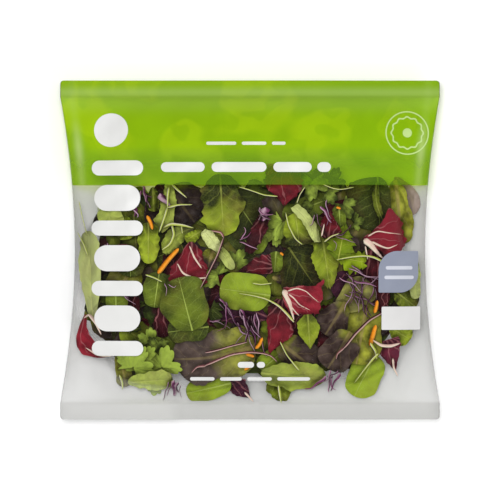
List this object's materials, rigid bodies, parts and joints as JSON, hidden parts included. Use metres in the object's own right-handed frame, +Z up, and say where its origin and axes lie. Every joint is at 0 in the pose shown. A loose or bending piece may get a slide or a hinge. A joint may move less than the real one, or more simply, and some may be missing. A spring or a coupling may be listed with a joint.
{
  "type": "sealed bag of mixed salad leaves",
  "caption": "Sealed clear-film pillow bag of mixed salad leaves with flat end seals, a green printed band and a lap seam down the back.",
  "frame": {"origin": "on the floor under the middle of the bag, which lies on its back", "axes": "+Z up out of the printed front, +Y towards the top seal, +X to the right across the bag"},
  "size_m": [0.28, 0.25, 0.0691],
  "materials": {
    "clear_film": "glossy clear film",
    "green_print": "translucent lime green print on film",
    "white_print": "opaque white print on film",
    "violet_print": "soft blue violet print on film",
    "green_leaf": "fresh green leaf",
    "red_leaf": "wine red leaf with pale ribs",
    "dark_leaf": "bronze red lettuce",
    "shreds": "shredded purple cabbage",
    "carrot": "shredded carrot"
  },
  "bodies": {
    "root": {"salad_bag": "clear_film"}
  },
  "joints": []
}
